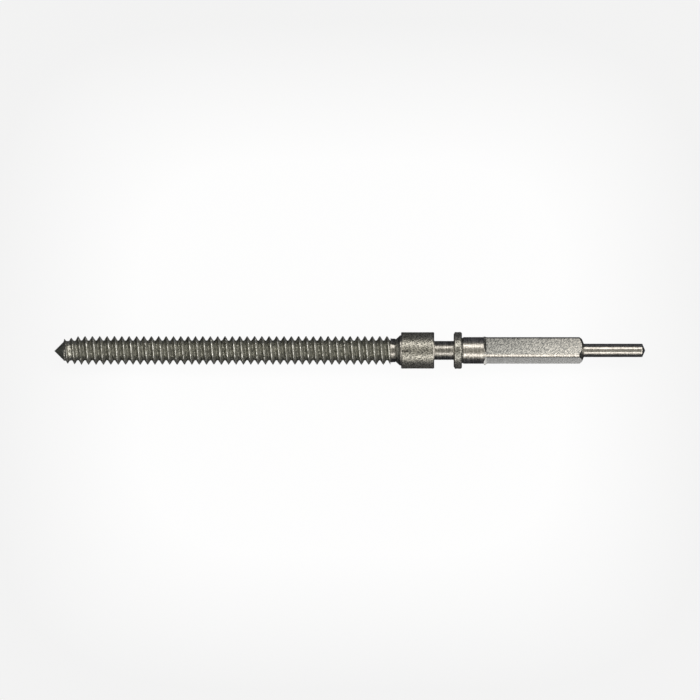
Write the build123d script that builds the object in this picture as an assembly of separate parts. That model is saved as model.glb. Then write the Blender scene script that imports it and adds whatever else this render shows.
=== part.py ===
from build123d import *
from math import ceil, cos, pi, radians, sin, tan
import os

# Watch stem, in millimetres.
# The stem lies along X: the pointed crown thread is at -X and the inner pivot at +X.
# The origin is on the axis, at the middle of the hub. Two flats of the square face +Z and -Z.
# The real stem is one piece of steel. Its working sections are separate solids that meet face to face.

# Crown thread, right-hand
pitch = 0.225
thread_d = 0.875
thread_depth = 0.139
thread_length = 10.265          # from the point to the relief groove
crest_share = 0.05              # width of a crest as a share of the pitch
root_share = 0.23               # width of the flat between two ridges as a share of the pitch
crest_angle = 188.0             # degrees from +Y to the crest at the relief groove, turning about X

# Point and first turns of the thread
tip_half_angle = 45.0           # degrees from the axis, up to the thread's root
lead_half_angle = 65.0          # degrees from the axis, from the root up to the first crest
lead_drop = 0.037               # how far the first crest is below the full thread
lead_length = 0.370             # where the crests rise to full height

# Relief groove and flare
relief_d = 0.728
relief_length = 0.162
flare_start_d = 0.685
flare_end_d = 0.930
flare_length = 0.162

# Hub
hub_d = 1.116
hub_length = 1.011
hub_edge_length = 0.030
hub_edge_drop = 0.014

# Lever neck and collar
neck_d = 0.578
neck_length = 0.593
collar_d = 1.128
collar_length = 0.254
collar_bevel_length = 0.035     # on the hub's side
collar_bevel_drop = 0.085
collar_round = 0.055            # on the seat's side

# Pinion seat
seat_d = 0.817
seat_length = 0.663
undercut_depth = 0.020
undercut_length = 0.040

# Clutch square
square_corner_d = 0.845
across_flats = 0.678
square_length = 2.922           # from the flats' sloped run-outs to the end chamfer
square_chamfer = 0.083          # on the corners at the end
shoulder_length = 0.055         # the cone from the chamfer down to the pivot
runout_angle = 45.0             # degrees

# End pivot
pivot_d = 0.411
pivot_length = 1.765            # to the start of the nose
nose_step = 0.035               # small bevel before the nose
nose_length = 0.068
nose_tip_d = 0.030

# Counts and overruns
sections_per_turn = 12
points_per_flank = 8
cutter_overrun = 0.2
groove_start_share = 1.01       # radius where the groove starts, as a share of the root radius

# Places along X
hub_left = -hub_length / 2
hub_right = hub_length / 2
flare_left = hub_left - flare_length
relief_left = flare_left - relief_length
tip_x = relief_left - thread_length
collar_left = hub_right + neck_length
collar_right = collar_left + collar_length
square_left = collar_right + seat_length
square_right = square_left + square_length
shoulder_left = square_right + square_chamfer
pivot_left = shoulder_left + shoulder_length
nose_left = pivot_left + pivot_length

thread_r = thread_d / 2
root_r = thread_r - thread_depth


def turned(points):
    """A solid of revolution about X from its (x, r) outline, closed along the axis."""
    first_x = points[0][0]
    last_x = points[-1][0]
    outline = Polyline((first_x, 0), *points, (last_x, 0), close=True)
    return revolve(make_face(outline), Axis.X)


def rod(left, right, diameter):
    return turned([(left, diameter / 2), (right, diameter / 2)])


def polar(radius, turn):
    angle = 2 * pi * turn
    return (radius * cos(angle), radius * sin(angle))


def thread_section(crest_r, crest_turn):
    """The thread cut square to its axis, its crest limited to crest_r and pointing to crest_turn."""
    flank_share = (1 - crest_share - root_share) / 2
    crest_half = crest_share / 2 + flank_share * (thread_r - crest_r) / thread_depth
    root_half = crest_share / 2 + flank_share

    def flank(step):
        place = step / points_per_flank
        radius = crest_r + (root_r - crest_r) * place
        return radius, crest_half + (root_half - crest_half) * place

    def at(radius, turn):
        return polar(radius, crest_turn + turn)

    steps = [flank(step) for step in range(points_per_flank + 1)]
    crest = ThreePointArc(at(crest_r, -crest_half), at(crest_r, 0), at(crest_r, crest_half))
    rising = Spline(*[at(radius, turn) for radius, turn in steps])
    root = ThreePointArc(at(root_r, root_half), at(root_r, 1 / 2), at(root_r, -root_half))
    falling = Spline(*[at(radius, -turn) for radius, turn in reversed(steps)])
    return Wire([crest, rising, root, falling])


def side_faces(solid):
    """The faces of a solid along Z, without its flat ends."""
    return [face for face in solid.faces() if face.geom_type != GeomType.PLANE]


def crown_thread():
    """Cone, first turns and full thread, made along Z from the point and then laid along X."""
    groove_r = groove_start_share * root_r
    groove_z = groove_r / tan(radians(tip_half_angle))
    first_r = thread_r - lead_drop
    lead_slope = tan(radians(lead_half_angle))
    first_z = groove_z + (first_r - groove_r) / lead_slope
    full_z = first_z + lead_length

    def crest_at(z):
        if z < first_z:
            return groove_r + (z - groove_z) * lead_slope
        return first_r + lead_drop * (z - first_z) / lead_length

    def section_at(z):
        crest_turn = crest_angle / 360 + (z - thread_length) / pitch
        return Pos(0, 0, z) * thread_section(crest_at(z), crest_turn)

    count = ceil((full_z - groove_z) / pitch * sections_per_turn)
    heights = [groove_z + (full_z - groove_z) * step / count for step in range(count + 1)]
    sections = [section_at(z) for z in heights]
    cone = Solid.make_loft([Vertex(0, 0, 0), sections[0]], True)
    lead = Solid.make_loft(sections)
    full_length = thread_length - full_z
    full = Solid.extrude_linear_with_rotation(
        Face(sections[-1]), (0, 0, full_z), (0, 0, full_length), 360 * full_length / pitch)
    end = full.faces().filter_by(GeomType.PLANE).sort_by(Axis.Z)[-1]
    solid = Solid(Shell([*side_faces(cone), *side_faces(lead), *side_faces(full), end]))
    return Plane(origin=(tip_x, 0, 0), x_dir=(0, 1, 0), z_dir=(1, 0, 0)).location * solid


def thread_relief():
    return turned([
        (relief_left, relief_d / 2), (flare_left, relief_d / 2),
        (flare_left, flare_start_d / 2), (hub_left, flare_end_d / 2)])


def hub():
    radius = hub_d / 2
    return turned([
        (hub_left, radius - hub_edge_drop), (hub_left + hub_edge_length, radius),
        (hub_right - hub_edge_length, radius), (hub_right, radius - hub_edge_drop)])


def collar():
    radius = collar_d / 2
    disc = turned([
        (collar_left, radius - collar_bevel_drop), (collar_left + collar_bevel_length, radius),
        (collar_right, radius)])
    return fillet(disc.edges().sort_by(Axis.X)[-1], collar_round)


def pinion_seat():
    undercut_r = seat_d / 2 - undercut_depth
    undercut_right = collar_right + undercut_length
    return turned([
        (collar_right, undercut_r), (undercut_right, undercut_r),
        (undercut_right, seat_d / 2), (square_left, seat_d / 2)])


def clutch_square():
    """A round blank with a chamfered end and four milled flats that run out on a slope at the seat."""
    corner_r = square_corner_d / 2
    flat_z = across_flats / 2
    blank = turned([
        (square_left, corner_r), (square_right, corner_r),
        (shoulder_left, corner_r - square_chamfer), (pivot_left, pivot_d / 2)])
    slope = 1 / tan(radians(runout_angle))
    runout = (corner_r - flat_z) * slope
    cutter_top = corner_r + cutter_overrun
    cutter_right = pivot_left + cutter_overrun
    outline = Polyline(
        (square_left - cutter_overrun * slope, cutter_top), (square_left + runout, flat_z),
        (cutter_right, flat_z), (cutter_right, cutter_top), close=True)
    cutter = extrude(Plane.XZ * make_face(outline), cutter_top, both=True)
    return blank - [Rot(X=90 * side) * cutter for side in range(4)]


def end_pivot():
    radius = pivot_d / 2
    bevel_right = nose_left + nose_step
    return turned([
        (pivot_left, radius), (nose_left, radius), (bevel_right, radius - nose_step),
        (bevel_right + nose_length, nose_tip_d / 2)])


nodes = {
    "crown_thread": crown_thread(),
    "thread_relief": thread_relief(),
    "hub": hub(),
    "lever_neck": rod(hub_right, collar_left, neck_d),
    "collar": collar(),
    "pinion_seat": pinion_seat(),
    "clutch_square": clutch_square(),
    "end_pivot": end_pivot(),
}

os.makedirs("parts", exist_ok=True)
for name, shape in nodes.items():
    export_step(shape, f"parts/{name}.step")
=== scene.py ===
"""A watch stem: the turned, milled and threaded surfaces of one steel rod, section by section."""

import math

import bmesh
import bpy
import numpy as np
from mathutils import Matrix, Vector

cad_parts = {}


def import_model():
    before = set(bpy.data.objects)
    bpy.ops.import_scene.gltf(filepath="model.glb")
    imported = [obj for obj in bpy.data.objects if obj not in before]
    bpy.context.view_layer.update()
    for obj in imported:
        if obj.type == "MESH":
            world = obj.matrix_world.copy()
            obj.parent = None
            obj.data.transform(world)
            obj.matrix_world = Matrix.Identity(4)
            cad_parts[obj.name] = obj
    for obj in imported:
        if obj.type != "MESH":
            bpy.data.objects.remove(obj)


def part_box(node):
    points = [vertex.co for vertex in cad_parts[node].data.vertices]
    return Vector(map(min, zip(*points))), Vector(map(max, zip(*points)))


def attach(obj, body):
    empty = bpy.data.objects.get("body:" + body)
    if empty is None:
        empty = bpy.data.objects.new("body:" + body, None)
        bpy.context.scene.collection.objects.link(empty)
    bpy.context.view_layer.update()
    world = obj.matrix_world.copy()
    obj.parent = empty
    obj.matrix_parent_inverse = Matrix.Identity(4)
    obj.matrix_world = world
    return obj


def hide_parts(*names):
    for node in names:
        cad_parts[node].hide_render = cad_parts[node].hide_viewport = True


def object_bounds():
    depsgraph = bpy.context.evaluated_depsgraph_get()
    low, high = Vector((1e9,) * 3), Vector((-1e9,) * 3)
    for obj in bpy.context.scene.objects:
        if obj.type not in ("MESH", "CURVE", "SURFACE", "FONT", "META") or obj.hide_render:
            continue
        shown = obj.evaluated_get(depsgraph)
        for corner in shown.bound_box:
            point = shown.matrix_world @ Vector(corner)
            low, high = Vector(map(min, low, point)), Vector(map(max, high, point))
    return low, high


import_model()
cad_low, cad_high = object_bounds()

# Shapes are worked out in millimetres, and written to the scene in metres
MM = 0.001
TURN = 2 * math.pi

# The photo's frame
PHOTO_PX = 700
MM_PER_PX = 0.030541
HUB_CENTRE_PX = (417.65, 350.4)
VIEW_ELEVATION = math.radians(68)
CAMERA_DISTANCE = 300
CLIP_START = 1
CLIP_END = 10000

# Crown thread, right-hand, 60 degrees between its flanks
PITCH = 0.225
THREAD_DEPTH = 0.139
CREST_WIDTH = 0.018
CREST_DROP = 0.005                # how far a crest's rounded edges lie below its middle
CREST_SPREAD = 0.45               # share by which a worn crest grows wider or narrower
CREST_SPREAD_LIMITS = (0.4, 1.6)
CREST_REACH = 0.05                # how far from a crest its nicks and wear go
FLANK_SLOPE = 1 / math.tan(math.radians(30))
FLANK_END = 0.36                  # where the flank's rows end, as a share of the pitch from the crest
FLANK_WAVE = 0.003
ROOT_BLEND = 0.02
CREST_ANGLE = math.radians(188)   # from +Y to the crest at the relief groove, turning about X
NICK_DEPTH = 0.030
NICK_LEVEL = 1                    # only waves higher than this make nicks
WEAR_DEPTH = 0.003
WEAR_LIMIT = 0.012

# The thread's pointed end: a cone, then crests that rise, as distance from the point and crest radius
CONE_R = 0.288
CONE_STEP = 8                     # slope of the step from the cone up to the first crest
LEAD_CRESTS = [(0.300, 0.363), (0.404, 0.388), (0.515, 0.394), (0.602, 0.412), (0.723, 0.4375)]
LEAD_LENGTH = 0.6                 # from the cone to where the thread runs true
LEAD_SHIFT = 0.040                # how far the first crests lean towards the relief groove
LEAD_DROP = 0.018                 # how far the point lies off the axis, away from the photo's top
UP_ANGLE = math.radians(22)       # the photo's upward direction, from +Y about X

# Relief groove and flare
RELIEF_R = 0.360
RELIEF_LENGTH = 0.162
RELIEF_CORNER = 0.020
RELIEF_RINGS = 0.0015
RELIEF_WAVE = 0.004
FLARE_START_R = 0.342
FLARE_RIM = 0.030
FLARE_WAVE = 0.004
FLARE_DROP = 0.003                # keeps the uneven flare within its solid

# Hub
HUB_BEVEL = 0.030
HUB_BEVEL_DROP = 0.014
HUB_RIM = 0.075                   # width beside each bevel over which the waist and the pits begin
HUB_WAIST = 0.002
HUB_WAVE = 0.001
HUB_PIT = 0.0016
HUB_PIT_LEVEL = 0.3               # only waves higher than this make pits
HUB_PIT_LIMIT = 1.5
STREAK_DEPTH = 0.006              # a short groove along the hub, whose faces get a painted dark reflection
STREAK_ANGLE = math.radians(115)
STREAK_WIDTH = 0.035
STREAK_SPAN = (-0.478, -0.203)

# Lever neck, collar and pinion seat
NECK_FILLET = 0.022
NECK_RINGS = 0.0012
NECK_DROP = 0.001
COLLAR_BEVEL_DEPTH = 0.075
COLLAR_BEVEL_WIDTH = 0.035
COLLAR_ROUND = 0.055
COLLAR_GROOVE = 0.004
COLLAR_GROOVE_WIDTH = 0.035
COLLAR_WEAR = 0.0015
COLLAR_WEAR_LIMIT = 3
SEAT_UNDERCUT = 0.020
SEAT_UNDERCUT_WIDTH = 0.040
SEAT_RINGS = 0.0008
EDGE = 0.006                      # a broken edge

# Clutch square
ACROSS_FLATS = 0.678
SQUARE_CHAMFER = 0.083
SHOULDER_LENGTH = 0.055
RUNOUT_SLOPE = 1.0
RUNOUT_REACH = 1.3                # how far the fine rings go, as a share of the run-out's length
FLAT_WAVE = 0.0015
FLAT_CROWN = 0.006                # how far a flat falls away towards its edges
FLAT_REACH = 0.0085               # how far from its plane a flat may lie
EDGE_BLEND = 0.003                # softness of the edges between flats, corners and chamfer
MARK_TURN = math.radians(-40)     # slant of the milling marks
STEEP = 0.45                      # a face that leans this far towards the pivot gets painted shade
LINE_SPAN = (0.256, 0.280)        # heights between which a corner of the flats in front and behind gets a painted dark reflection
BURR_HEIGHT = 0.034
BURR_ANGLE = math.radians(210)
BURR_WIDTH = math.radians(12)
BURR_PLACE = 0.050
BURR_LENGTH = 0.030
LIP_LENGTH = 0.100                # the lip of a run-out, beside the burr, that gets a painted highlight
LIP_SIDE = 0.8                    # how far round it starts, as a share of the flat's distance from the axis

# End pivot
PIVOT_BEVEL = 0.040
PIVOT_WAVE = 0.0006
NOSE_LENGTH = 0.066
NOSE_WAVE_LENGTH = 0.029          # how far along the nose its waves go
NOSE_TIP = 0.015

# Places of the finishes on a turned piece, after its main one, and on the square
OTHER, PAINTED_STREAK = 1, 2
MILLED, FINE, SHADED, PAINTED_HIGHLIGHT, PAINTED_DARK_LINE = range(5)

# Steps between rings
RUNOUT_STEP = 0.004
END_STEP = 0.003
FINE_STEP = 0.008
MIDDLE_STEP = 0.010
EDGE_STEP = 0.012
FLAT_STEP = 0.015
LONG_STEP = 0.020

# Counts and limits of the meshes
SEGMENTS = 256
THREAD_SEGMENTS = 104
FLANK_ROWS = 5
ROOT_ROWS = 4
FLAT_COLUMNS = 60
CORNER_COLUMNS = 18
MERGE = 0.0002                    # points nearer to each other than this are one
SAME_POINT = EDGE / 20            # points of an outline nearer to each other than this are one
SHARP = 30                        # degrees between faces from which an edge is crisp
HUB_SHARP = 18
SQUARE_SHARP = 40

# Random waves over a surface, as the width of their bumps and a seed
SEED = 11
WAVES = 28
WAVE_SPREAD = (0.7, 1.6)
BUMPS = {
    "nicks": (0.05, 1),
    "wear": (0.1, 2),
    "flanks": (0.03, 3),
    "relief rings": (0.02, 4),
    "flare": (0.05, 5),
    "hub pits": (0.02, 6),
    "hub": (0.02, 7),
    "neck rings": (0.01, 8),
    "collar": (0.04, 9),
    "seat rings": (0.01, 10),
    "flats": (0.05, 12),
    "pivot": (0.06, 13),
    "relief": (0.06, 14),
    "crest spread": (0.08, 15),
}

# Light and dark tones of the turned and pitted finishes
FINE_TONES = (0.88, 0.83, 0.76, 1), (0.40, 0.375, 0.33, 1)
DULL_TONES = (0.64, 0.605, 0.55, 1), (0.28, 0.265, 0.235, 1)
# Painted shade: a darker copy of the turned finish, for the seat's undercut and the square's faces that lean
# towards the pivot
SHADED_TONES = (0.32, 0.315, 0.29, 1), (0.12, 0.12, 0.11, 1)
# Painted shade on the relief's corner and flare: a darker copy of the turned finish
FLARE_SHADE_TONES = (0.44, 0.43, 0.395, 1), (0.17, 0.168, 0.15, 1)
# Painted dark reflection: for the streak along the hub and a thin line at corners of the square
DARK_REFLECTION_TONES = (0.19, 0.18, 0.16, 1), (0.015, 0.015, 0.013, 1)
POLISHED_TONES = (0.76, 0.72, 0.66, 1), (0.50, 0.47, 0.42, 1)
COLLAR_TONES = (0.65, 0.63, 0.56, 1), (0.17, 0.165, 0.145, 1)
HUB_TONES = (0.69, 0.66, 0.575, 1), (0.16, 0.155, 0.135, 1)
# Painted highlight on the burr and the lip beside it
BURR_HIGHLIGHT_TONES = (0.95, 0.95, 0.93, 1), (0.62, 0.62, 0.60, 1)

# Noise at which a finish starts to change from its dark tone or roughness to its light one, and has changed
NOISE = (0.3, 0.7)
TURNED_NOISE = (0.83, 1.07)
PITTED_NOISE = (0.91, 1.09)
MILLED_NOISE = (0.212, 0.282)
BURR_NOISE = (0.35, 0.55)
ROOT_NOISE = (0.4, 0.6)
BREAK_NOISE = (0.38, 0.45)
SPECK_NOISE = (0.60, 0.66)
PATCH_NOISE = (0.43, 0.49)

# Turned finish
TURNING_LINES = 22                # in a mm
MOTTLE_SHARE = 0.9                # how strong the mottle is beside the turning lines

# Milled finish, under a painted reflection: tones at the seat's end, at the pivot's end and on the flats in
# front and behind
FLAT_LEFT_TONES = (0.98, 0.97, 0.90, 1), (0.30, 0.30, 0.29, 1)
FLAT_RIGHT_TONES = (0.98, 0.935, 0.85, 1), (0.42, 0.42, 0.40, 1)
FLAT_SIDE_TONE = (0.96, 0.97, 0.975, 1)
FLAT_LEFT_LENGTH = 0.3            # how far the tones at the seat's end go
SIDE_FACING = (0.5, 0.8)
SIDE_EVENNESS = 0.6               # how far the grain fades on the flats in front and behind
SHADED_WIDTH = (-0.25, 0.25)      # places across a flat between which its painted shade changes
SHADES_ALONG = (0.70, 1)
SHADES_ACROSS = (1, 0.68)
SHADES_UP = (0.98, 0.76)
MILLED_ROUGHNESS = (0.48, 0.34)
BURR_ROUGHNESS = (0.5, 0.35)

# Tones of the thread
ROOT_TONES = (0.47, 0.465, 0.40, 1), (0.13, 0.13, 0.105, 1)
# Painted shade, on the rear flanks and at the bottom of the roots
SHADOW_TONE = (0.08, 0.08, 0.07, 1)
# Painted light on the front flanks
FRONT_LIGHT_TONE = (0.85, 0.85, 0.78, 1)
SPECK_TONE = (0.92, 0.90, 0.78, 1)
# Painted highlight over the worn crests, which are also smoother
CREST_HIGHLIGHT_TONE = (1, 0.985, 0.92, 1)
START_TONE = (0.10, 0.10, 0.085, 1)
PATCH_TONE = (0.86, 0.845, 0.75, 1)
POINT_TONE = (0.20, 0.21, 0.185, 1)

# Where the thread's tones begin and end: depths below the crests, places along it and ways that it faces
CREST_LIGHT_DEPTHS = (0.028, 0.009)
REAR_DEPTHS = (0.11, 0.05)
ROOT_DEPTHS = (THREAD_DEPTH, THREAD_DEPTH - 0.04)
START_SPAN = (0.10, 0.70)         # from the first crest
POINT_SPAN = (-0.034, -0.018)     # from the cone's end
REAR_FACING = (-0.8, -0.2)
FRONT_FACING = (0.2, 0.8)
ROOT_FACING = (-0.2, 0.3)
FLANK_FACING = (0.35, 0.75)

# How much of the thread's tones shows
BREAK_SHARE = 0.2                 # of the crests' light, where a crest is broken
REAR_SHARES = (0.12, 0.66)
FRONT_SHARE = 0.31
ROOT_SHARE = 0.7
SPECK_SHARE = 0.55
START_SHARE = 0.5                 # of the first turns' dark tone
FLANK_PATCHES = 0.25              # of the first turns' bright patches, on the flanks
THREAD_ROUGHNESS = (0.46, 0.14)

# Lamps
LAMP_DISTANCE = 70
LAMP_COLOUR = (1, 0.985, 0.97)
LONG_LAMP_LENGTH = 150
LONG_LAMP_PLACE = 16
LONG_LAMP_RADIANCE = 1.75
LONG_LAMPS = {"lamp_above": (39, 30), "lamp_below": (-42, 26)}      # degrees from the view, width
END_LAMP_SIZE = (60, 30)
END_LAMP_PLACE = -2
END_LAMP_TILT = math.radians(52)
END_LAMPS = {"lamp_left": (-1, 1.3), "lamp_right": (1, 2.1)}        # side of the stem, radiance
WORLD_COLOUR = (0.28, 0.275, 0.25, 1)

# Paper and dark cards
PAPER_REACH = 400
PAPER_GAP = 0.002                 # between the stem and the paper
PAPER_DROP = 30                   # from the paper down to a lower sheet
PAPER_COLOUR = (0.93, 0.93, 0.94, 1)
PAPER_GLOW = 0.94
PAPER_FALL = (6.5, 11.0)          # distances from its middle where the paper's painted pool of light starts and ends to dim
PAPER_FALL_POWER = 4              # outline of the bright area: 2 is an even circle, more is nearer a square
PAPER_LIGHT_TONES = (1, 1, 1, 1), (0.9, 0.9, 0.9, 1)
CARD_REACH = (26, 15)
CARD_GAP = 0.001
CARD_TINT = (0.92, 1, 1.22)
CARD_SHADE = 0.054
BACK_CARD_SHADE = 0.08
BACK_CARD_HEIGHT = 18
END_CARD_HEIGHTS = (8, 12)


def span(node):
    """Left end, right end and largest radius of a CAD section, in mm."""
    low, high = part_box(node)
    return low.x / MM, high.x / MM, (high.z - low.z) / 2 / MM


def ripple(xs, angles, radius, kind):
    """A smooth random field over a round surface, mostly within -1 to 1. At radius 0 it is even round X."""
    size, seed = BUMPS[kind]
    rng = np.random.default_rng(SEED + seed)
    ys = radius * np.cos(angles)
    zs = radius * np.sin(angles)
    total = np.zeros(np.broadcast(xs, angles).shape)
    for _ in range(WAVES):
        direction = rng.normal(size=3)
        direction /= np.linalg.norm(direction)
        wave = TURN / (2 * size * rng.uniform(*WAVE_SPREAD))
        place = direction[0] * xs + direction[1] * ys + direction[2] * zs
        total += np.sin(wave * place + rng.uniform(0, TURN))
    return total / math.sqrt(WAVES)


def skin(name, xs, angles, radii, sharp_degrees=SHARP, seam_rows=0, bend=None):
    """A closed surface round X from arrays of rings by segments, in mm, with crisp edges.

    Where the rings climb like a thread, the last segment joins the first one seam_rows further on.
    bend(xs) gives a sideways shift (y, z) of the rings.
    """
    rings, segments = radii.shape
    ys = radii * np.cos(angles)
    zs = radii * np.sin(angles)
    if bend:
        shift_y, shift_z = bend(xs)
        ys, zs = ys + shift_y, zs + shift_z
    points = np.stack([xs, ys, zs], -1)
    centres = [points[0].mean(0), points[-1].mean(0)]
    vertices = np.vstack([points.reshape(-1, 3), centres]) * MM
    first, last = rings * segments, rings * segments + 1
    faces = []
    for segment in range(segments):
        after = (segment + 1) % segments
        climb = 0 if after else seam_rows
        faces.append((first, after, segment))
        faces.append((last, (rings - 1) * segments + segment, (rings - 1) * segments + after))
        for ring in range(rings - 1 - climb):
            near, far = ring * segments, (ring + climb) * segments
            faces.append((near + segment, far + after, far + segments + after, near + segments + segment))
    mesh = bpy.data.meshes.new(name)
    mesh.from_pydata(vertices.tolist(), [], faces)
    clean = bmesh.new()
    clean.from_mesh(mesh)
    bmesh.ops.remove_doubles(clean, verts=clean.verts, dist=MERGE * MM)
    bmesh.ops.dissolve_degenerate(clean, edges=clean.edges, dist=MERGE * MM)
    bmesh.ops.recalc_face_normals(clean, faces=clean.faces)
    clean.to_mesh(mesh)
    clean.free()
    mesh.shade_smooth()
    mesh.set_sharp_from_angle(angle=math.radians(sharp_degrees))
    return place_object(name, mesh)


def place_object(name, data):
    obj = bpy.data.objects.new(name, data)
    bpy.context.scene.collection.objects.link(obj)
    return obj


def turned(name, outline, wobble, sharp_degrees=SHARP):
    """A lathe-turned surface from its (x, r) outline. wobble(xs, angles) adds to the radius."""
    outline = np.array(outline)
    angle = np.linspace(0, TURN, SEGMENTS, endpoint=False)
    xs = np.repeat(outline[:, :1], SEGMENTS, 1)
    angles = np.repeat(angle[None, :], len(outline), 0)
    radii = np.repeat(outline[:, 1:], SEGMENTS, 1)
    return skin(name, xs, angles, radii + wobble(xs, angles), sharp_degrees)


def line(start, end, step):
    """Outline points from start to end, no further apart than step."""
    count = max(1, math.ceil(math.dist(start, end) / step))
    share = np.linspace(0, 1, count + 1)[:, None]
    return (np.array(start) * (1 - share) + np.array(end) * share).tolist()


def arc(centre, radius, start, end, count=6):
    """Outline points round a corner. Angles are in degrees, from +x towards +r."""
    angles = np.radians(np.linspace(start, end, count + 1))
    return [[centre[0] + radius * math.cos(a), centre[1] + radius * math.sin(a)] for a in angles]


def joined(*runs):
    """One outline from several runs of points, each shared end written once."""
    outline = []
    for run in runs:
        outline += [p for p in run if not outline or math.dist(p, outline[-1]) > SAME_POINT]
    return outline


def refinish(obj, low_x, high_x):
    """Give the faces between two places along the stem, in mm, the piece's other finish."""
    for face in obj.data.polygons:
        if low_x < face.center.x / MM < high_x:
            face.material_index = OTHER


def thread_rows():
    """Places of a pitch's rows, as shares of the pitch from the crest, close together at the crest."""
    crest = CREST_WIDTH / PITCH / 2
    top = np.array([crest / 2, crest, crest * 1.5])
    flank = np.linspace(crest * 1.5, FLANK_END, FLANK_ROWS)[1:]
    root = np.linspace(FLANK_END, 0.5, ROOT_ROWS)[1:]
    half = np.concatenate([top, flank, root])
    return np.concatenate([[0], half, 1 - half[-2::-1]])


def thread_grid(left, right, rows):
    """Arrays of x, angle and distance from the nearest crest, with rings that climb with the thread."""
    angle = np.linspace(0, TURN, THREAD_SEGMENTS, endpoint=False)
    seam_crest = right - PITCH * CREST_ANGLE / TURN
    turns = math.ceil((seam_crest - left) / PITCH) + 1
    crest_x = seam_crest - PITCH * turns + PITCH * angle / TURN
    shares = (np.arange(turns + 2)[:, None] + rows[None, :]).reshape(-1)
    even_xs = np.clip(crest_x[None, :] + PITCH * shares[:, None], left - LEAD_SHIFT, right)
    share = (even_xs - crest_x[None, :]) / PITCH
    away = np.abs((share + 0.5) % 1 - 0.5) * PITCH
    xs = even_xs + LEAD_SHIFT * np.clip(1 - (even_xs - left - CONE_R) / LEAD_LENGTH, 0, 1)
    return xs, np.repeat(angle[None, :], len(shares), 0), away


def thread_profile(away, crest_r, root_r, half_width):
    """Radius at a distance from the crest's middle: a rounded crest, straight flanks and a rounded root."""
    crest = crest_r - CREST_DROP * np.clip(away / half_width, 0, 1) ** 2
    flank = crest - FLANK_SLOPE * np.maximum(away - half_width, 0)
    return (flank + root_r + np.sqrt((flank - root_r) ** 2 + ROOT_BLEND ** 2)) / 2


def crown_thread():
    """The worn thread, limited by the cone of its point."""
    left, right, thread_r = span("crown_thread")
    rows = thread_rows()
    xs, angles, away = thread_grid(left, right, rows)
    lead_x, lead_r = zip(*LEAD_CRESTS)
    from_point = xs - left

    def waves(kind):
        return ripple(xs, angles, thread_r, kind)

    near_crest = np.clip(1 - away / CREST_REACH, 0, 1)
    nicks = np.clip(waves("nicks") - NICK_LEVEL, 0, 1) * NICK_DEPTH * (xs > left + lead_x[-1])
    wear = np.clip(WEAR_DEPTH * (1 + waves("wear")), 0, WEAR_LIMIT)
    spread = np.clip(1 + CREST_SPREAD * waves("crest spread"), *CREST_SPREAD_LIMITS)
    crest_r = np.interp(from_point, lead_x, lead_r)
    radii = thread_profile(away, crest_r, thread_r - THREAD_DEPTH, CREST_WIDTH / 2 * spread)
    radii += FLANK_WAVE * waves("flanks") - near_crest * (nicks + wear)
    cone = np.minimum(from_point, CONE_R) + CONE_STEP * np.maximum(from_point - CONE_R, 0)
    radii = np.minimum(np.minimum(radii, thread_r), cone)

    def bend(xs):
        drop = LEAD_DROP * np.clip(1 - (xs - left - CONE_R) / (lead_x[-1] - CONE_R), 0, 1)
        return -drop * math.cos(UP_ANGLE), -drop * math.sin(UP_ANGLE)

    return skin("crown_thread_skin", xs, angles, radii, SHARP, len(rows), bend)


def thread_relief():
    left, right, flare_r = span("thread_relief")
    flare_left = left + RELIEF_LENGTH
    corner_left = flare_left - RELIEF_CORNER
    rim_left = right - FLARE_RIM
    outline = joined(
        line((left, RELIEF_R), (corner_left, RELIEF_R), FINE_STEP),
        line((corner_left, RELIEF_R), (flare_left, FLARE_START_R), FINE_STEP),
        line((flare_left, FLARE_START_R), (rim_left, flare_r), FINE_STEP),
        line((rim_left, flare_r), (right, flare_r), FINE_STEP))

    def wobble(xs, angles):
        rings = RELIEF_RINGS * ripple(xs, 0, 0, "relief rings")
        groove = rings + RELIEF_WAVE * ripple(xs, angles, RELIEF_R, "relief")
        flare = FLARE_WAVE * ripple(xs, angles, RELIEF_R, "flare") - FLARE_DROP
        return np.where(xs < flare_left, groove, flare)

    obj = turned("thread_relief_skin", outline, wobble)
    # The groove's corner and the flare get painted shade
    refinish(obj, corner_left, rim_left)
    return obj


def hub():
    left, right, radius = span("hub")
    middle, half = (left + right) / 2, (right - left) / 2
    low = radius - HUB_BEVEL_DROP
    streak_left, streak_right = middle + STREAK_SPAN[0], middle + STREAK_SPAN[1]
    outline = joined(
        line((left, low), (left + HUB_BEVEL, radius), EDGE_STEP),
        line((left + HUB_BEVEL, radius), (right - HUB_BEVEL, radius), FINE_STEP),
        line((right - HUB_BEVEL, radius), (right, low), EDGE_STEP))

    def wobble(xs, angles):
        inside = np.clip((half - np.abs(xs - middle) - HUB_BEVEL) / HUB_RIM, 0, 1)
        waist = -HUB_WAIST * inside * inside * (3 - 2 * inside)
        waves = HUB_WAVE * ripple(xs, angles, radius, "hub")
        pits = np.clip(ripple(xs, angles, radius, "hub pits") - HUB_PIT_LEVEL, 0, HUB_PIT_LIMIT)
        along = (xs > streak_left) & (xs < streak_right)
        streak = -STREAK_DEPTH * along * np.exp(-((angles - STREAK_ANGLE) / STREAK_WIDTH) ** 2)
        return waist + streak + (waves - HUB_PIT * pits) * inside

    obj = turned("hub_skin", outline, wobble, HUB_SHARP)
    refinish(obj, left, left + HUB_BEVEL)
    refinish(obj, right - HUB_BEVEL, right)
    # Faces along the streak get a painted dark reflection
    for face in obj.data.polygons:
        x, y, z = face.center / MM
        beside = abs(math.atan2(z, y) - STREAK_ANGLE)
        if streak_left < x < streak_right and beside < STREAK_WIDTH:
            face.material_index = PAINTED_STREAK
    return obj


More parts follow.
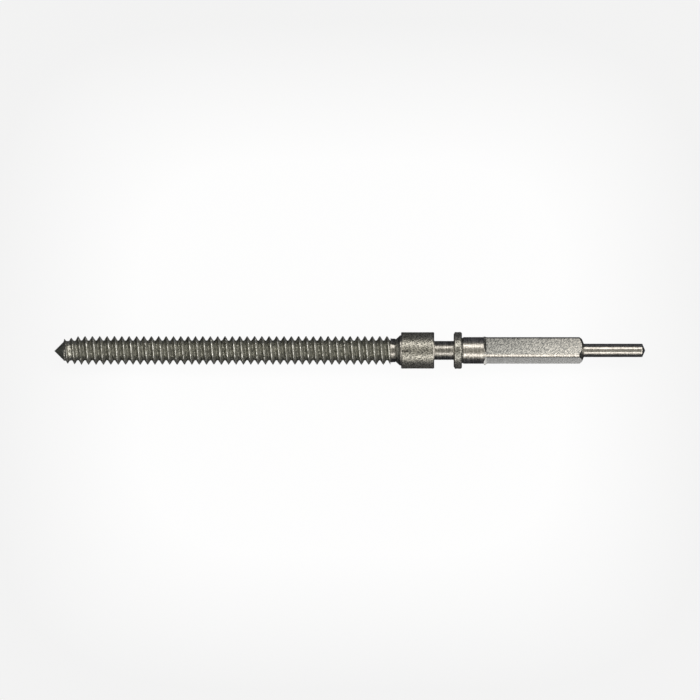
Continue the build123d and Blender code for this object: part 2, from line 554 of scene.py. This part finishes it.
def lever_neck():
    left, right, radius = span("lever_neck")
    round_r = radius + NECK_FILLET
    outline = joined(
        arc((left + NECK_FILLET, round_r), NECK_FILLET, 180, 270),
        line((left + NECK_FILLET, radius), (right - NECK_FILLET, radius), MIDDLE_STEP),
        arc((right - NECK_FILLET, round_r), NECK_FILLET, 270, 360))

    def wobble(xs, angles):
        return NECK_RINGS * ripple(xs, 0, 0, "neck rings") - NECK_DROP

    return turned("lever_neck_skin", outline, wobble)


def collar():
    left, right, radius = span("collar")
    rim_left = left + COLLAR_BEVEL_WIDTH
    rim_right = right - COLLAR_ROUND
    middle = (rim_left + rim_right) / 2
    outline = joined(
        line((left, radius - COLLAR_BEVEL_DEPTH), (rim_left, radius - EDGE), EDGE_STEP),
        arc((rim_left + EDGE, radius - EDGE), EDGE, 180, 90, count=3),
        line((rim_left + EDGE, radius), (rim_right, radius), FINE_STEP),
        arc((rim_right, radius - COLLAR_ROUND), COLLAR_ROUND, 90, 0, count=10))

    def wobble(xs, angles):
        groove = COLLAR_GROOVE * np.exp(-((xs - middle) / COLLAR_GROOVE_WIDTH) ** 2)
        wear = COLLAR_WEAR * np.clip(1 + ripple(xs, angles, radius, "collar"), 0, COLLAR_WEAR_LIMIT)
        return -groove - wear

    return turned("collar_skin", outline, wobble)


def pinion_seat():
    left, right, radius = span("pinion_seat")
    low = radius - SEAT_UNDERCUT
    seat_left = left + SEAT_UNDERCUT_WIDTH
    outline = joined(
        line((left, low), (seat_left - EDGE, low), EDGE_STEP),
        line((seat_left - EDGE, low), (seat_left, radius - EDGE), EDGE_STEP),
        arc((seat_left + EDGE, radius - EDGE), EDGE, 180, 90, count=3),
        line((seat_left + EDGE, radius), (right, radius), FINE_STEP))

    def wobble(xs, angles):
        return SEAT_RINGS * (ripple(xs, 0, 0, "seat rings") - 1)

    obj = turned("pinion_seat_skin", outline, wobble)
    # The undercut gets painted shade
    refinish(obj, left, seat_left)
    return obj


def square_finish(face, left, flat):
    """The finish of one of the square's faces, from its place and slope: painted shade where a face leans
    towards the pivot, a painted highlight on the lip beside the burr and a painted dark reflection along a
    corner of the flats in front and behind.
    """
    middle = face.center / MM
    side, height = abs(middle.y), abs(middle.z)
    if face.normal.x > STEEP:
        lip = middle.x < left + LIP_LENGTH and middle.y < -flat * LIP_SIDE
        return PAINTED_HIGHLIGHT if lip else SHADED
    if side > height and LINE_SPAN[0] < height < LINE_SPAN[1]:
        return PAINTED_DARK_LINE
    if abs(max(side, height) - flat) < FLAT_REACH:
        return MILLED
    return FINE


def clutch_square():
    """A round blank with a chamfered end, cut down by four flats that run out on a slope at the seat."""
    left, right, corner_r = span("clutch_square")
    pivot_r = span("end_pivot")[2]
    flat = ACROSS_FLATS / 2
    runout = (corner_r - flat) / RUNOUT_SLOPE
    shoulder_left = right - SHOULDER_LENGTH
    chamfer_left = shoulder_left - SQUARE_CHAMFER
    fine_right = left + runout * RUNOUT_REACH
    stations = joined(
        line((left, 0), (fine_right, 0), RUNOUT_STEP),
        line((fine_right, 0), (chamfer_left, 0), FLAT_STEP),
        line((chamfer_left, 0), (right, 0), END_STEP))
    corner = math.acos(flat / corner_r)
    flat_part = np.linspace(-corner, corner, FLAT_COLUMNS, endpoint=False)
    corner_part = np.linspace(corner, TURN / 4 - corner, CORNER_COLUMNS, endpoint=False)
    quarter = np.concatenate([flat_part, corner_part])
    angle = np.concatenate([quarter + side * TURN / 4 for side in range(4)])
    angles = np.repeat(angle[None, :], len(stations), 0)
    xs = np.repeat(np.array(stations)[:, :1], len(angle), 1)
    blank = np.interp(xs, [left, chamfer_left, shoulder_left, right],
                      [corner_r, corner_r, corner_r - SQUARE_CHAMFER, pivot_r])
    from_flat = (angles + TURN / 8) % (TURN / 4) - TURN / 8
    depth = flat + np.maximum(left + runout - xs, 0) * RUNOUT_SLOPE
    wavy = FLAT_WAVE * ripple(xs, angles, corner_r, "flats")
    crown = FLAT_CROWN * (np.tan(from_flat) / math.tan(corner)) ** 2
    cut = (depth + wavy - crown) / np.cos(from_flat)
    radii = (blank + cut - np.sqrt((blank - cut) ** 2 + EDGE_BLEND ** 2)) / 2
    near_end = np.exp(-((xs - left - BURR_PLACE) / BURR_LENGTH) ** 2)
    near_angle = np.exp(-((angles - BURR_ANGLE) / BURR_WIDTH) ** 2)
    radii = radii + BURR_HEIGHT * near_end * near_angle
    obj = skin("clutch_square_skin", xs, angles, radii, SQUARE_SHARP)
    for face in obj.data.polygons:
        face.material_index = square_finish(face, left, flat)
    return obj


def end_pivot():
    left, right, radius = span("end_pivot")
    nose_left = right - NOSE_LENGTH
    bevel_left = nose_left - PIVOT_BEVEL
    outline = joined(
        line((left, radius), (bevel_left, radius), LONG_STEP),
        arc((bevel_left, radius - PIVOT_BEVEL), PIVOT_BEVEL, 90, 10, count=8),
        line((nose_left, radius - PIVOT_BEVEL), (right, NOSE_TIP), MIDDLE_STEP))

    def wobble(xs, angles):
        return PIVOT_WAVE * (ripple(xs, angles, radius, "pivot") - 1) * (xs < nose_left + NOSE_WAVE_LENGTH)

    return turned("end_pivot_skin", outline, wobble)


def new_material(name):
    material = bpy.data.materials.new(name)
    material.use_nodes = True
    tree = material.node_tree
    return material, tree, tree.nodes["Principled BSDF"]


def add(tree, kind, settings=None, inputs=None):
    """A shader node with its properties set and its sockets set or linked."""
    node = tree.nodes.new(kind)
    for name, value in (settings or {}).items():
        setattr(node, name, value)
    for name, value in (inputs or {}).items():
        if isinstance(value, bpy.types.NodeSocket):
            tree.links.new(value, node.inputs[name])
        else:
            node.inputs[name].default_value = value
    return node


def millimetres(tree, stretch=(1, 1, 1), turn=0):
    """The piece's own coordinates in mm, turned about Z and then stretched along each axis."""
    place = add(tree, "ShaderNodeTexCoord").outputs["Object"]
    inputs = {"Vector": place, "Rotation": (0, 0, turn), "Scale": tuple(MM / s for s in stretch)}
    return add(tree, "ShaderNodeMapping", {"vector_type": "TEXTURE"}, inputs).outputs["Vector"]


def parts(tree, vector):
    """The X, Y and Z outputs of a vector."""
    return add(tree, "ShaderNodeSeparateXYZ", None, {0: vector}).outputs


def facing(tree, axis):
    """How far a surface faces along one of the piece's own axes, from -1 to 1."""
    return parts(tree, add(tree, "ShaderNodeTexCoord").outputs["Normal"])[axis]


def grain(tree, per_mm, detail, roughness=0.6, stretch=(1, 1, 1), turn=0):
    """Noise from 0 to 1."""
    inputs = {
        "Vector": millimetres(tree, stretch, turn), "Scale": per_mm, "Detail": detail,
        "Roughness": roughness}
    return add(tree, "ShaderNodeTexNoise", None, inputs).outputs["Fac"]


def remap(tree, value, between, to=(0, 1)):
    """A value between two limits, moved to lie between two others and held there."""
    low, high = between
    inputs = {"Value": value, "From Min": low, "From Max": high, "To Min": to[0], "To Max": to[1]}
    return add(tree, "ShaderNodeMapRange", None, inputs).outputs["Result"]


def blend_colour(tree, factor, first, second, kind="MIX"):
    inputs = {"Factor": factor, 6: first, 7: second}
    return add(tree, "ShaderNodeMix", {"data_type": "RGBA", "blend_type": kind}, inputs).outputs[2]


def blend_value(tree, factor, first, second):
    return add(tree, "ShaderNodeMix", None, {0: factor, 2: first, 3: second}).outputs[0]


def math_node(tree, operation, first, second=0):
    return add(tree, "ShaderNodeMath", {"operation": operation}, {0: first, 1: second}).outputs[0]


def times(tree, first, second):
    return math_node(tree, "MULTIPLY", first, second)


def from_axis(tree, place):
    """Distance from the stem's axis."""
    across, up = (times(tree, place[axis], place[axis]) for axis in "YZ")
    return math_node(tree, "SQRT", math_node(tree, "ADD", across, up))


def bump(tree, height, depth_mm, under=None):
    """A normal from a height field, over another one if given."""
    inputs = {"Height": height, "Strength": 1.0, "Distance": depth_mm * MM}
    if under:
        inputs["Normal"] = under
    return add(tree, "ShaderNodeBump", None, inputs).outputs["Normal"]


def finish_steel(tree, shader, colour, roughness, normal, metallic):
    """Link a steel finish. Below 1, metallic leaves some of the light to spread as on a dull oxide."""
    shader.inputs["Metallic"].default_value = metallic
    tree.links.new(colour, shader.inputs["Base Color"])
    tree.links.new(roughness, shader.inputs["Roughness"])
    tree.links.new(normal, shader.inputs["Normal"])


def turned_steel(name, tones, smooth, rough, marks):
    """Lathe-turned steel: fine rings round X over a faint mottle. marks is the rings' depth in mm."""
    material, tree, shader = new_material(name)
    light, dark = tones
    rings = grain(tree, per_mm=1, detail=3, roughness=0.7, stretch=(TURNING_LINES, 0.5, 0.5))
    mottle = grain(tree, per_mm=18, detail=2)
    mixed = math_node(tree, "ADD", rings, times(tree, mottle, MOTTLE_SHARE))
    colour = blend_colour(tree, remap(tree, mixed, TURNED_NOISE), dark, light)
    roughness = remap(tree, rings, NOISE, (smooth, rough))
    normal = bump(tree, rings, marks, under=bump(tree, mottle, marks))
    finish_steel(tree, shader, colour, roughness, normal, metallic=1)
    return material


def pitted_steel(name, tones, smooth, rough):
    """Satin steel with small pits and stains."""
    material, tree, shader = new_material(name)
    light, dark = tones
    stains = grain(tree, per_mm=34, detail=1, roughness=0.9)
    pits = grain(tree, per_mm=22, detail=2, roughness=0.8, stretch=(0.8, 1, 1))
    mixed = math_node(tree, "ADD", stains, pits)
    colour = blend_colour(tree, remap(tree, mixed, PITTED_NOISE), dark, light)
    roughness = remap(tree, pits, NOISE, (rough, smooth))
    normal = bump(tree, stains, depth_mm=0.006, under=bump(tree, pits, depth_mm=0.005))
    finish_steel(tree, shader, colour, roughness, normal, metallic=0.9)
    return material


def milled_steel(name, left, right):
    """The square's flats: granular milled steel with short slanting marks, under a painted reflection that is
    darker and cooler towards the seat, darker towards +Y on the flats above and below and towards +Z on the
    flats in front and behind.
    """
    material, tree, shader = new_material(name)
    place = parts(tree, millimetres(tree))
    on_side = remap(tree, math_node(tree, "ABSOLUTE", facing(tree, "Y")), SIDE_FACING)
    from_left = remap(tree, place["X"], (left + FLAT_LEFT_LENGTH, right))
    light, dark = (blend_colour(tree, from_left, *pair) for pair in zip(FLAT_LEFT_TONES, FLAT_RIGHT_TONES))
    light = blend_colour(tree, on_side, light, FLAT_SIDE_TONE)
    grains = grain(tree, per_mm=27, detail=2, roughness=0.8)
    marks = grain(tree, per_mm=15, detail=2, roughness=0.7, stretch=(1.9, 0.7, 0.8), turn=MARK_TURN)
    mixed = remap(tree, times(tree, grains, marks), MILLED_NOISE)
    mixed = blend_value(tree, times(tree, on_side, SIDE_EVENNESS), mixed, 0.5)
    along = remap(tree, from_left, (0, 1), SHADES_ALONG)
    across = remap(tree, place["Y"], SHADED_WIDTH, SHADES_ACROSS)
    up = remap(tree, place["Z"], SHADED_WIDTH, SHADES_UP)
    # Painted shade along and across the flats above and below, and up the flats in front and behind
    shade = blend_value(tree, on_side, times(tree, along, across), up)
    colour = blend_colour(tree, 1.0, blend_colour(tree, mixed, dark, light), shade, "MULTIPLY")
    roughness = remap(tree, grains, NOISE, MILLED_ROUGHNESS)
    normal = bump(tree, grains, depth_mm=0.012, under=bump(tree, marks, depth_mm=0.008))
    finish_steel(tree, shader, colour, roughness, normal, metallic=0.3)
    return material


def burr_highlight_steel(name):
    """The lip and burr that the cutter left where a flat begins, made bright by a painted highlight."""
    material, tree, shader = new_material(name)
    light, dark = BURR_HIGHLIGHT_TONES
    specks = grain(tree, per_mm=16, detail=2)
    colour = blend_colour(tree, remap(tree, specks, BURR_NOISE), dark, light)
    roughness = remap(tree, specks, NOISE, BURR_ROUGHNESS)
    normal = bump(tree, specks, depth_mm=0.004)
    finish_steel(tree, shader, colour, roughness, normal, metallic=0.15)
    return material


def thread_steel(name, left, thread_r):
    """The thread: worn crests under a broken painted highlight, roots with stains and painted shade at their
    bottom, painted shade on the rear flanks, painted light on the front ones, and a patchy start.
    """
    material, tree, shader = new_material(name)
    place = parts(tree, millimetres(tree))
    facing_x = facing(tree, "X")
    first_crest, full_crest = left + LEAD_CRESTS[0][0], left + LEAD_CRESTS[-1][0]

    def between_depths(value, depths, to=(0, 1)):
        return remap(tree, value, (thread_r - depths[0], thread_r - depths[1]), to)

    def along(start, offsets):
        """From 1 down to 0 between two places, given from a start."""
        return remap(tree, place["X"], (start + offsets[0], start + offsets[1]), (1, 0))

    lowered = remap(tree, place["X"], (first_crest, full_crest), (thread_r - LEAD_CRESTS[0][1], 0))
    level = math_node(tree, "ADD", from_axis(tree, place), lowered)
    # The worn crests are smoother, and a painted highlight, broken by noise, lies over them
    breaks = remap(tree, grain(tree, per_mm=20, detail=2), BREAK_NOISE, (BREAK_SHARE, 1))
    crest = times(tree, between_depths(level, CREST_LIGHT_DEPTHS), breaks)
    # Painted shade on the rear flanks, which face the point, darkest near the crests, and painted light on
    # the front ones, which face the hub
    rear = remap(tree, facing_x, REAR_FACING, (1, 0))
    rear = times(tree, rear, between_depths(level, REAR_DEPTHS, REAR_SHARES))
    front = remap(tree, facing_x, FRONT_FACING, (0, FRONT_SHARE))
    # Painted shade at the bottom of the roots
    root_shade = remap(tree, facing_x, ROOT_FACING)
    root_shade = times(tree, root_shade, between_depths(level, ROOT_DEPTHS, (ROOT_SHARE, 0)))
    specks = remap(tree, grain(tree, per_mm=24, detail=1), SPECK_NOISE, (0, SPECK_SHARE))
    start = along(first_crest, START_SPAN)
    off_flanks = remap(tree, math_node(tree, "ABSOLUTE", facing_x), FLANK_FACING, (1, FLANK_PATCHES))
    patches = remap(tree, grain(tree, per_mm=25, detail=1), PATCH_NOISE)
    patchy = times(tree, patches, times(tree, start, off_flanks))
    point = along(left + CONE_R, POINT_SPAN)

    light, dark = ROOT_TONES
    stains = grain(tree, per_mm=13, detail=4, roughness=0.75, stretch=(1.6, 0.8, 0.8))
    colour = blend_colour(tree, remap(tree, stains, ROOT_NOISE), dark, light)
    layers = [
        (rear, SHADOW_TONE), (front, FRONT_LIGHT_TONE), (root_shade, SHADOW_TONE), (specks, SPECK_TONE),
        (crest, CREST_HIGHLIGHT_TONE), (times(tree, start, START_SHARE), START_TONE), (patchy, PATCH_TONE),
        (point, POINT_TONE)]
    for share, tone in layers:
        colour = blend_colour(tree, share, colour, tone)
    roughness = remap(tree, math_node(tree, "MAXIMUM", crest, patchy), (0, 1), THREAD_ROUGHNESS)
    normal = bump(tree, grain(tree, per_mm=30, detail=3), depth_mm=0.009)
    finish_steel(tree, shader, colour, roughness, normal, metallic=0.9)
    return material


def put(obj, node, slot, *materials):
    """Give a piece its finishes, and let it ride on the stem's body in place of its CAD section."""
    for material in materials:
        obj.data.materials.append(material)
    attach(obj, "root")
    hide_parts(node)


def build():
    thread_left, _, thread_r = span("crown_thread")
    square_left, square_right, _ = span("clutch_square")
    fine = turned_steel("turned_steel", FINE_TONES, smooth=0.24, rough=0.34, marks=0.003)
    dull = turned_steel("neck_steel", DULL_TONES, smooth=0.24, rough=0.34, marks=0.003)
    shaded = turned_steel("shaded_steel", SHADED_TONES, smooth=0.36, rough=0.48, marks=0.004)
    flare_shade = turned_steel("flare_shade_steel", FLARE_SHADE_TONES, smooth=0.34, rough=0.46, marks=0.004)
    dark_reflection = turned_steel("dark_reflection_steel", DARK_REFLECTION_TONES, smooth=0.4, rough=0.5, marks=0.003)
    polished = turned_steel("polished_steel", POLISHED_TONES, smooth=0.2, rough=0.26, marks=0.0006)
    satin = pitted_steel("collar_steel", COLLAR_TONES, smooth=0.26, rough=0.34)
    pitted = pitted_steel("hub_steel", HUB_TONES, smooth=0.25, rough=0.33)
    milled = milled_steel("milled_steel", square_left, square_right)
    threaded = thread_steel("thread_steel", thread_left, thread_r)
    burr_highlight = burr_highlight_steel("burr_highlight_steel")
    put(crown_thread(), "crown_thread", "thread_steel", threaded)
    put(thread_relief(), "thread_relief", "turned_steel", dull, flare_shade)
    put(hub(), "hub", "hub_steel", pitted, dull, dark_reflection)
    put(lever_neck(), "lever_neck", "turned_steel", dull)
    put(collar(), "collar", "turned_steel", satin)
    put(pinion_seat(), "pinion_seat", "turned_steel", fine, shaded)
    put(clutch_square(), "clutch_square", "milled_steel", milled, fine, shaded, burr_highlight, dark_reflection)
    put(end_pivot(), "end_pivot", "polished_steel", polished)


def view_axis(tilt_degrees=0):
    """A unit vector from the object to the camera, turned towards the photo's top by some degrees."""
    angle = VIEW_ELEVATION + math.radians(tilt_degrees)
    return Vector((0, -math.cos(angle), math.sin(angle)))


def frame_middle():
    """How far the middle of the photo's frame lies right of the hub's centre and above it, in mm."""
    middle = PHOTO_PX / 2
    return (middle - HUB_CENTRE_PX[0]) * MM_PER_PX, (HUB_CENTRE_PX[1] - middle) * MM_PER_PX


def camera():
    data = bpy.data.cameras.new("camera")
    data.type = "ORTHO"
    data.ortho_scale = PHOTO_PX * MM_PER_PX * MM
    data.clip_start = CLIP_START * MM
    data.clip_end = CLIP_END * MM
    obj = place_object("camera", data)
    across, above = frame_middle()
    target = Vector((across, 0, 0)) - view_axis(-90) * above
    obj.location = (target + view_axis() * CAMERA_DISTANCE) * MM
    obj.rotation_euler = (math.pi / 2 - VIEW_ELEVATION, 0, 0)
    bpy.context.scene.camera = obj


def softbox(name, direction, along, length, width, radiance):
    """A soft lamp that faces a place along the stem. Its length lies along X, or up the photo at the ends."""
    data = bpy.data.lights.new(name, "AREA")
    data.shape = "RECTANGLE"
    data.size = length * MM
    data.size_y = width * MM
    data.energy = radiance * math.pi * length * width * MM * MM
    data.color = LAMP_COLOUR
    obj = place_object(name, data)
    obj.location = (direction * LAMP_DISTANCE + Vector((along, 0, 0))) * MM
    obj.rotation_euler = direction.to_track_quat("Z", "Y").to_euler()


def lamps():
    """A ring of four lamps round the camera: two along the stem and one at each end."""
    for name, (tilt, width) in LONG_LAMPS.items():
        softbox(name, view_axis(tilt), LONG_LAMP_PLACE, LONG_LAMP_LENGTH, width, LONG_LAMP_RADIANCE)
    for name, (side, radiance) in END_LAMPS.items():
        direction = view_axis() * math.cos(END_LAMP_TILT) + Vector((side * math.sin(END_LAMP_TILT), 0, 0))
        softbox(name, direction, END_LAMP_PLACE, *END_LAMP_SIZE, radiance)


def plane(name, corners):
    mesh = bpy.data.meshes.new(name)
    points = [tuple(c * MM for c in corner) for corner in corners]
    mesh.from_pydata(points, [], [tuple(range(len(points)))])
    return place_object(name, mesh)


def level_corners(x, y, height):
    """Corners of a level rectangle over the origin, reaching x and y to each side of it."""
    return [(-x, -y, height), (x, -y, height), (x, y, height), (-x, y, height)]


def matt_material(name, colour):
    material, tree, shader = new_material(name)
    shader.inputs["Base Color"].default_value = colour
    shader.inputs["Roughness"].default_value = 1
    shader.inputs["Specular IOR Level"].default_value = 0
    return material, tree, shader


def sheet(name, height, glow_share):
    """Pale paper at some height in mm, that the camera and the metal see light, with a painted pool of light
    that is brightest in the middle.
    """
    obj = plane(name, level_corners(PAPER_REACH, PAPER_REACH, height))
    material, tree, shader = matt_material(name, PAPER_COLOUR)
    inputs = {0: millimetres(tree), 1: (frame_middle()[0], 0, height)}
    from_middle = add(tree, "ShaderNodeVectorMath", {"operation": "SUBTRACT"}, inputs).outputs[0]
    place = parts(tree, from_middle)
    across, up = (math_node(tree, "POWER", place[axis], PAPER_FALL_POWER) for axis in "XY")
    away = math_node(tree, "POWER", math_node(tree, "ADD", across, up), 1 / PAPER_FALL_POWER)
    colour = blend_colour(tree, remap(tree, away, PAPER_FALL), *PAPER_LIGHT_TONES)
    glow = add(tree, "ShaderNodeEmission", None, {"Color": colour, "Strength": 1.0})
    path = add(tree, "ShaderNodeLightPath")
    seen = math_node(tree, "MAXIMUM", path.outputs["Is Camera Ray"], path.outputs["Is Glossy Ray"])
    seen = math_node(tree, "MAXIMUM", seen, path.outputs["Is Transmission Ray"])
    share = times(tree, seen, glow_share)
    mix = add(tree, "ShaderNodeMixShader", None, {0: share, 1: shader.outputs[0], 2: glow.outputs[0]})
    tree.links.new(mix.outputs[0], tree.nodes["Material Output"].inputs["Surface"])
    obj.data.materials.append(material)


def floor():
    """The paper under the stem, and a lower sheet for a camera whose frame reaches below the first."""
    bottom = cad_low[2] / MM - PAPER_GAP
    sheet("floor", bottom, PAPER_GLOW)
    sheet("floor_below", bottom - PAPER_DROP, 1)


def dark_card(name, shade, corners):
    """A dark card that only the metal's reflections show, as it stands round a stem for its photo."""
    obj = plane(name, corners)
    material, _, _ = matt_material(name, (*(shade * tint for tint in CARD_TINT), 1))
    obj.data.materials.append(material)
    obj.visible_camera = False
    obj.visible_diffuse = False
    obj.visible_shadow = False


def cards():
    """One card under the stem, one behind it and one at each end."""
    low = cad_low[2] / MM - CARD_GAP
    top = BACK_CARD_HEIGHT
    near_top, far_top = END_CARD_HEIGHTS
    x, y = CARD_REACH
    dark_card("card_under", CARD_SHADE, level_corners(x, y, low))
    dark_card("card_back", BACK_CARD_SHADE, [(-x, y, low), (x, y, low), (x, y, top), (-x, y, top)])
    for name, end in (("card_left", -x), ("card_right", x)):
        dark_card(name, CARD_SHADE, [(end, -y, low), (end, y, low), (end, y, far_top), (end, -y, near_top)])


def world():
    studio = bpy.data.worlds.new("studio")
    studio.use_nodes = True
    studio.node_tree.nodes["Background"].inputs["Color"].default_value = WORLD_COLOUR
    bpy.context.scene.world = studio


build()
camera()
lamps()
floor()
cards()
world()
bpy.context.scene.view_settings.view_transform = "Standard"
